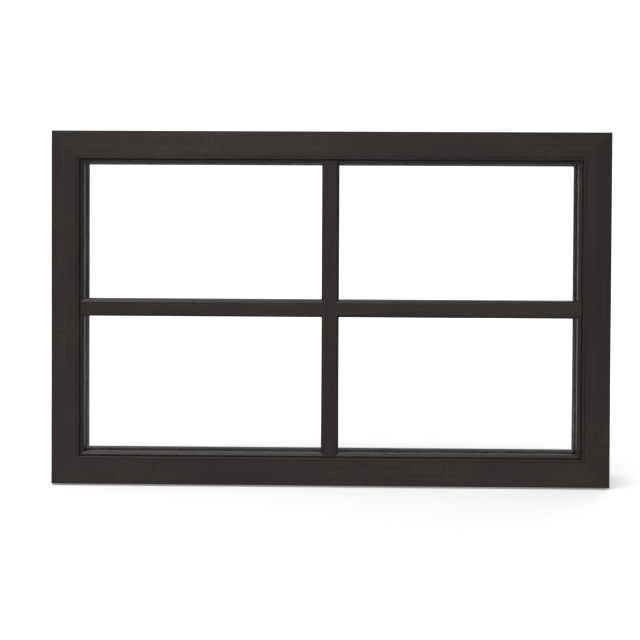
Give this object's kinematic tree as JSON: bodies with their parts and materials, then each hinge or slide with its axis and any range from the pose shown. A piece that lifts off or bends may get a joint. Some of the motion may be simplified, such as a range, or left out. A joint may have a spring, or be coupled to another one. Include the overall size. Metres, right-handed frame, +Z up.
{
  "type": "awning window with crank operator",
  "caption": "Wide top-hung window sash with mitred face, glazing bars making equal lights, on a slim frame with sliding-shoe hinges and a crank operator.",
  "frame": {"origin": "centre of the underside of the sill, mid frame depth", "axes": "+X to the right seen from outside, +Y into the room, +Z up"},
  "size_m": [0.914, 0.151, 0.584],
  "materials": {
    "sash_paint": "satin dark bronze coating",
    "frame_paint": "satin dark bronze coating",
    "timber": "dark stained timber, satin",
    "glass": "clear float glass",
    "spacer": "dark anodised, dull",
    "rubber": "matt black",
    "nylon": "black nylon",
    "operator_paint": "dark bronze, satin",
    "knob_plastic": "dark moulded plastic",
    "steel": "zinc plated steel, dull"
  },
  "bodies": {
    "frame": {"sill": "frame_paint", "head": "frame_paint", "jamb_left": "frame_paint", "jamb_right": "frame_paint", "frame_screws": "steel", "hinge_track_left": "steel", "hinge_track_right": "steel", "low_pivot_left": "steel", "low_pivot_right": "steel", "track_screws": "steel", "operator_base": "steel", "operator_housing": "operator_paint", "operator_screws": "steel"},
    "sash": {"glass_inner": "glass", "glass_outer": "glass", "glass_spacer": "spacer", "glazing_bar_left": "sash_paint", "glazing_bar_right": "sash_paint", "glazing_bar_upright": "sash_paint", "glazing_stop_bottom": "timber", "glazing_stop_left": "timber", "glazing_stop_right": "timber", "glazing_stop_top": "timber", "glazing_tape": "rubber", "hinge_leaf_left": "steel", "hinge_leaf_right": "steel", "inner_bar_left": "timber", "inner_bar_right": "timber", "inner_bar_upright": "timber", "sash_cladding_bottom": "sash_paint", "sash_cladding_left": "sash_paint", "sash_cladding_right": "sash_paint", "sash_cladding_top": "sash_paint", "sash_core_bottom": "timber", "sash_core_left": "timber", "sash_core_right": "timber", "sash_core_top": "timber", "setting_blocks": "rubber", "sash_gasket": "rubber", "leaf_screws": "steel", "sash_bracket": "steel", "bracket_screws": "steel"},
    "hinge_arm_left": {"hinge_arm_left": "steel", "middle_pivot_left": "steel"},
    "hinge_arm_right": {"hinge_arm_right": "steel", "middle_pivot_right": "steel"},
    "shoe_left": {"hinge_shoe_left": "nylon"},
    "shoe_right": {"hinge_shoe_right": "nylon"},
    "carrier": {"link_carrier": "steel"},
    "drive_arm_left": {"drive_arm_left": "steel"},
    "drive_arm_right": {"drive_arm_right": "steel"},
    "link_left": {"link_left": "steel"},
    "link_right": {"link_right": "steel"},
    "crank": {"worm_shaft": "steel", "crank_arm": "operator_paint", "crank_set_screw": "steel"},
    "knob": {"crank_knob": "knob_plastic"}
  },
  "joints": [
    {"name": "hinge_arm_left_swing", "type": "hinge", "parent": "frame", "child": "hinge_arm_left", "pos_m": [-0.42925, -0.015, 0.031], "axis": [1, 0, 0], "range_deg": [0, 25]},
    {"name": "sash_swing", "type": "hinge", "parent": "hinge_arm_left", "child": "sash", "pos_m": [-0.42925, -0.015, 0.3055], "axis": [-1, 0, 0], "range_deg": [0, 50]},
    {"name": "hinge_arm_right_swing", "type": "hinge", "parent": "frame", "child": "hinge_arm_right", "pos_m": [0.42925, -0.015, 0.031], "axis": [1, 0, 0], "range_deg": [0, 25]},
    {"name": "shoe_left_turn", "type": "hinge", "parent": "sash", "child": "shoe_left", "pos_m": [-0.426, -0.015, 0.58], "axis": [1, 0, 0], "range_deg": [0, 25]},
    {"name": "shoe_right_turn", "type": "hinge", "parent": "sash", "child": "shoe_right", "pos_m": [0.426, -0.015, 0.58], "axis": [1, 0, 0], "range_deg": [0, 25]},
    {"name": "carrier_turn", "type": "hinge", "parent": "sash", "child": "carrier", "pos_m": [0, -0.015, 0.031], "axis": [1, 0, 0], "range_deg": [0, 25]},
    {"name": "drive_arm_left_swing", "type": "hinge", "parent": "frame", "child": "drive_arm_left", "pos_m": [-0.0276, -0.015, 0.01725], "axis": [0, 0, 1], "range_deg": [0, 25]},
    {"name": "drive_arm_right_swing", "type": "hinge", "parent": "frame", "child": "drive_arm_right", "pos_m": [0.0276, -0.015, 0.01725], "axis": [0, 0, -1], "range_deg": [0, 25]},
    {"name": "link_left_swing", "type": "hinge", "parent": "drive_arm_left", "child": "link_left", "pos_m": [-0.3021, -0.015, 0.0195], "axis": [0, 0, -1], "range_deg": [0, 50]},
    {"name": "link_right_swing", "type": "hinge", "parent": "drive_arm_right", "child": "link_right", "pos_m": [0.3021, -0.015, 0.0195], "axis": [0, 0, 1], "range_deg": [0, 50]},
    {"name": "crank_turn", "type": "hinge", "parent": "frame", "child": "crank", "pos_m": [0, 0.036, 0.01725], "axis": [0, -1, 0], "range_deg": [0, 1500]},
    {"name": "knob_spin", "type": "hinge", "parent": "crank", "child": "knob", "pos_m": [0.078, 0.055, 0.01725], "axis": [0, 1, 0], "continuous": true}
  ],
  "couplings": [
    {"joint": "hinge_arm_left_swing", "follows": "sash_swing", "ratio": 0.5},
    {"joint": "hinge_arm_right_swing", "follows": "sash_swing", "ratio": 0.5},
    {"joint": "shoe_left_turn", "follows": "sash_swing", "ratio": 0.5},
    {"joint": "shoe_right_turn", "follows": "sash_swing", "ratio": 0.5},
    {"joint": "carrier_turn", "follows": "sash_swing", "ratio": 0.5},
    {"joint": "drive_arm_left_swing", "follows": "sash_swing", "ratio": 0.5},
    {"joint": "drive_arm_right_swing", "follows": "sash_swing", "ratio": 0.5},
    {"joint": "link_left_swing", "follows": "sash_swing", "ratio": 1},
    {"joint": "link_right_swing", "follows": "sash_swing", "ratio": 1},
    {"joint": "crank_turn", "follows": "sash_swing", "ratio": 30}
  ]
}
